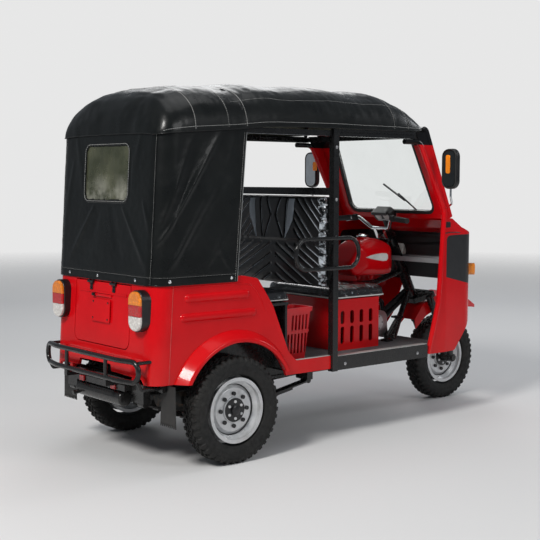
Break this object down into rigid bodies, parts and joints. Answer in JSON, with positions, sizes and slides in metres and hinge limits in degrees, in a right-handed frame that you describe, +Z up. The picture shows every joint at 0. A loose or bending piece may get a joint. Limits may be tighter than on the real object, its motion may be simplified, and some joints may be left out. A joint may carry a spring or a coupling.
{
  "type": "auto rickshaw",
  "caption": "Three-wheeled passenger auto rickshaw with a red steel body, black soft top, handlebar steering, rear bench, tailgate and turning wheels.",
  "frame": {"origin": "on the ground, in the middle of the vehicle's length and width", "axes": "+X forward, +Y to the vehicle's left, +Z up"},
  "size_m": [3.014, 1.304, 1.94],
  "materials": {
    "body_red": "gloss",
    "frame_black": "satin",
    "chrome": "polished",
    "engine_alloy": "satin",
    "iron_dark": "matte",
    "floor_mat": "matte",
    "vinyl_black": "satin",
    "seat_vinyl": "satin",
    "red_plastic": "satin",
    "black_plastic": "satin",
    "grey_plastic": "satin",
    "lens_red": "gloss",
    "lens_amber": "gloss",
    "lamp_clear": "gloss",
    "screen_glass": "gloss",
    "window_film": "satin",
    "rubber_black": "matte",
    "tyre": "matte",
    "rim_silver": "satin"
  },
  "bodies": {
    "chassis": {"chassis_frame": "frame_black", "floor_deck": "floor_mat", "side_sills": "frame_black", "rear_side_panels": "body_red", "tail_panel": "body_red", "hinge_leaves": "frame_black", "wheel_housings": "frame_black", "passenger_bench": "frame_black", "passenger_cushion": "seat_vinyl", "passenger_backrest": "seat_vinyl", "driver_seat_box": "body_red", "driver_cushion": "seat_vinyl", "driver_backrest": "seat_vinyl", "storage_basket": "red_plastic", "fuel_tank": "body_red", "engine": "engine_alloy", "exhaust": "frame_black", "foot_controls": "frame_black", "rear_axle": "iron_dark", "leaf_springs": "frame_black", "propeller_shaft": "iron_dark", "cab_body": "body_red", "front_mask": "black_plastic", "windscreen_seal": "rubber_black", "windscreen": "screen_glass", "wiper": "black_plastic", "headlamps": "lamp_clear", "indicators": "lens_amber", "dash_tray": "grey_plastic", "mirror_stems": "chrome", "mirrors": "black_plastic", "roof_frame": "frame_black", "canopy_roof": "vinyl_black", "canopy_curtains": "vinyl_black", "rear_window": "window_film", "grab_rails": "frame_black", "rear_bumper": "frame_black", "tail_lamp_bases": "black_plastic", "tail_lamp_lenses": "lens_red", "reflectors": "lens_red", "mudflaps": "rubber_black"},
    "tailgate": {"tailgate": "body_red", "gate_fittings": "frame_black", "number_plate": "body_red"},
    "fork": {"fork": "frame_black", "handlebar": "chrome", "handlebar_grips": "rubber_black", "instrument_pod": "black_plastic", "front_fender": "body_red"},
    "rear_wheel_right": {"rear_tyre_right": "tyre", "rear_rim_right": "rim_silver"},
    "rear_wheel_left": {"rear_tyre_left": "tyre", "rear_rim_left": "rim_silver"},
    "front_wheel": {"front_tyre": "tyre", "front_rim": "rim_silver"}
  },
  "joints": [
    {"name": "steering", "type": "hinge", "parent": "chassis", "child": "fork", "pos_m": [0.659, 0, 1.15], "axis": [-0.4695, 0, 0.8829], "range_deg": [-28, 28]},
    {"name": "front_wheel_spin", "type": "hinge", "parent": "fork", "child": "front_wheel", "pos_m": [1.176, 0, 0.272], "axis": [0, 1, 0], "continuous": true},
    {"name": "rear_wheel_right_spin", "type": "hinge", "parent": "chassis", "child": "rear_wheel_right", "pos_m": [-0.939, -0.485, 0.272], "axis": [0, 1, 0], "continuous": true},
    {"name": "rear_wheel_left_spin", "type": "hinge", "parent": "chassis", "child": "rear_wheel_left", "pos_m": [-0.939, 0.485, 0.272], "axis": [0, 1, 0], "continuous": true},
    {"name": "tailgate_hinge", "type": "hinge", "parent": "chassis", "child": "tailgate", "pos_m": [-1.3953, 0, 0.904], "axis": [0, 1, 0], "range_deg": [0, 80]}
  ]
}
